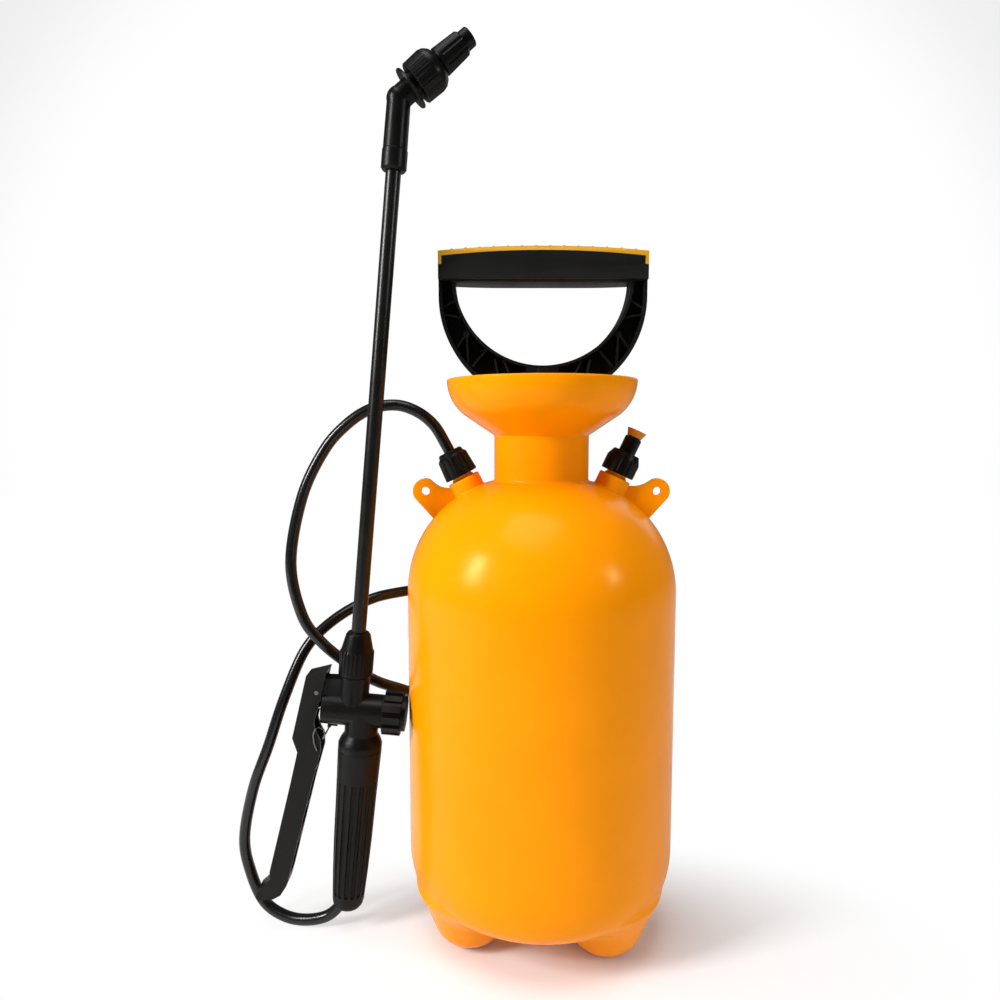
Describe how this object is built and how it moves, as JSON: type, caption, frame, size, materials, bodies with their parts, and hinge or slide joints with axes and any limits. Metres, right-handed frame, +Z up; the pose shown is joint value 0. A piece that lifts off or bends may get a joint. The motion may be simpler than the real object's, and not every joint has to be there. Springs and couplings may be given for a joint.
{
  "type": "hand-carried pump sprayer",
  "caption": "Upright pressure sprayer for garden and orchard: round tank with pouring bowl, lift-out hand pump, relief valve, hose, trigger gun, lance and angled nozzle.",
  "frame": {"origin": "on the floor that the four feet stand on, midway between the trigger's toe and the tank's far side, level with the tank's axis front to back", "axes": "+Z up along the tank's axis, +X from the hose port to the relief valve, -Y towards the side that shows the gun"},
  "size_m": [0.3221, 0.211, 0.6117],
  "materials": {
    "yellow_shell": "satin blow-moulded polyethylene",
    "cap_yellow": "satin moulded plastic",
    "black_plastic": "fine moulded texture",
    "black_gloss": "smooth moulded",
    "natural_plastic": "unpigmented moulded plastic",
    "seal_rubber": "matt",
    "hose_pvc": "smooth extruded",
    "steel": "drawn wire and turned steel"
  },
  "bodies": {
    "tank": {"tank": "yellow_shell", "hose_nut": "black_plastic", "hose_tail": "black_plastic", "hose_seal": "seal_rubber", "dip_tube": "natural_plastic", "pickup_filter": "natural_plastic", "relief_nut": "black_plastic", "relief_stem": "black_plastic", "relief_washer": "seal_rubber", "relief_spring": "steel", "hose": "hose_pvc", "gun_body": "black_plastic", "grip": "black_plastic", "grip_tail": "natural_plastic", "gun_filter": "natural_plastic", "valve_cap": "black_plastic", "cap_seal": "seal_rubber", "valve_seat": "natural_plastic", "valve_spring": "steel", "trigger_pin": "steel", "lance_nut": "black_plastic", "lance_seal": "seal_rubber"},
    "pump_washer": {"pump_seal": "seal_rubber"},
    "pump": {"pump_head": "black_plastic", "pump_barrel": "natural_plastic", "check_valve": "seal_rubber", "rod_guide": "black_plastic"},
    "rod": {"pump_rod": "natural_plastic", "piston": "black_plastic", "piston_seal": "seal_rubber", "rod_nut": "steel", "handle_screw": "steel"},
    "handle": {"handle_frame": "black_plastic", "lock_sleeve": "black_plastic", "grip_cap": "cap_yellow"},
    "relief": {"relief_pin": "natural_plastic", "relief_seal": "seal_rubber", "relief_knob": "cap_yellow"},
    "trigger": {"trigger": "black_plastic"},
    "plunger": {"valve_plunger": "steel", "plunger_seal": "seal_rubber"},
    "latch": {"latch_wire": "steel"},
    "lance": {"lance_tube": "black_gloss", "elbow": "black_plastic", "nozzle_nut": "black_plastic", "nozzle_core": "natural_plastic"},
    "swirl": {"swirl_disc": "natural_plastic"},
    "tip": {"nozzle_tip": "black_plastic"}
  },
  "joints": [
    {"name": "pump_lift", "type": "slide", "parent": "tank", "child": "pump_washer", "axis": [0, 0, 1], "range_m": [0, 0.26]},
    {"name": "pump_unscrew", "type": "hinge", "parent": "pump_washer", "child": "pump", "pos_m": [0.05412, 0, 0.364], "axis": [0, 0, 1], "range_deg": [0, 540]},
    {"name": "pump_stroke", "type": "slide", "parent": "pump", "child": "rod", "axis": [0, 0, 1], "range_m": [0, 0.175]},
    {"name": "handle_turn", "type": "hinge", "parent": "rod", "child": "handle", "pos_m": [0.05412, 0, 0.38], "axis": [0, 0, 1], "range_deg": [0, 90]},
    {"name": "relief_pull", "type": "slide", "parent": "tank", "child": "relief", "axis": [0.4226, 0, 0.9063], "range_m": [0, 0.003], "stiffness_N_per_m": 120, "springref_m": -0.003, "deforming": ["relief_spring"]},
    {"name": "trigger_squeeze", "type": "hinge", "parent": "tank", "child": "trigger", "pos_m": [-0.10189, -0.02262, 0.17806], "axis": [-0.0022, -0.9997, -0.0226], "range_deg": [0, 11.5], "stiffness_Nm_per_rad": 0.3, "springref_deg": -14.32},
    {"name": "valve_open", "type": "slide", "parent": "tank", "child": "plunger", "axis": [0.9955, 0, -0.095], "range_m": [0, 0.0025], "deforming": ["valve_spring"]},
    {"name": "latch_swing", "type": "hinge", "parent": "trigger", "child": "latch", "pos_m": [-0.10238, -0.0217, 0.13713], "axis": [0.0022, 0.9997, 0.0226], "range_deg": [0, 14]},
    {"name": "lance_turn", "type": "hinge", "parent": "tank", "child": "lance", "pos_m": [-0.07528, -0.02308, 0.19581], "axis": [0.095, -0.0227, 0.9952], "continuous": true},
    {"name": "tip_rise", "type": "slide", "parent": "lance", "child": "swirl", "axis": [0.7711, -0.016, 0.6366], "range_m": [0, 0.00225]},
    {"name": "tip_turn", "type": "hinge", "parent": "swirl", "child": "tip", "pos_m": [-0.01656, -0.03207, 0.58791], "axis": [0.7711, -0.016, 0.6366], "range_deg": [0, 540]}
  ],
  "couplings": [
    {"joint": "valve_open", "follows": "trigger_squeeze", "m_per_rad": 0.0118},
    {"joint": "tip_turn", "follows": "tip_rise", "rad_per_m": 4188.8}
  ]
}
